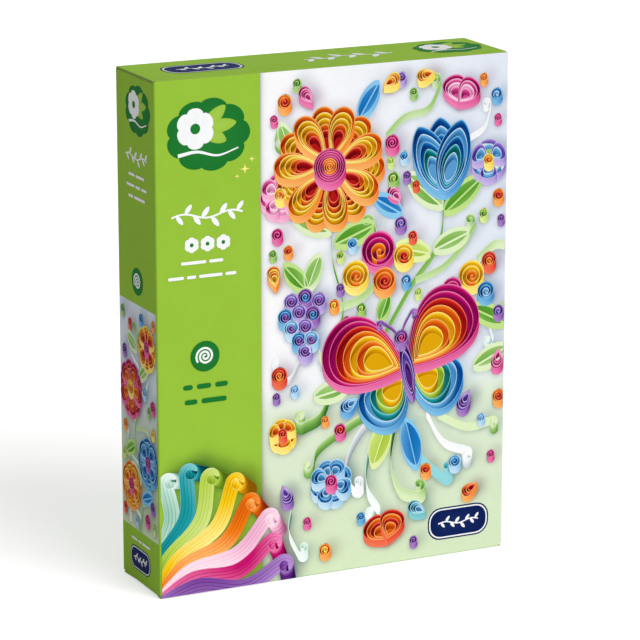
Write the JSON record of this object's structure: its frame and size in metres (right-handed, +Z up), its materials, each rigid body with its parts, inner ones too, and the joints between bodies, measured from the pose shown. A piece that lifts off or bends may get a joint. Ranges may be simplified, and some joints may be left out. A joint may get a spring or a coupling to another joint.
{
  "type": "craft kit carton",
  "caption": "Upright folding carton of printed board with a self-locking bottom, dust flaps and a tuck lid that swings open at the back.",
  "frame": {"origin": "centre of the carton's footprint, on the surface that it stands on", "axes": "+Z up along the carton's height, +Y from the printed front to the back wall, +X to the right as seen from the front"},
  "size_m": [0.23, 0.057, 0.31],
  "materials": {
    "printed_board": "satin",
    "lid_board": "satin"
  },
  "bodies": {
    "carton": {"carton": "printed_board"},
    "lid": {"tuck_lid": "lid_board"}
  },
  "joints": [
    {"name": "lid_hinge", "type": "hinge", "parent": "carton", "child": "lid", "pos_m": [0, 0.0285, 0.3088], "axis": [-1, 0, 0], "range_deg": [0, 170]}
  ]
}
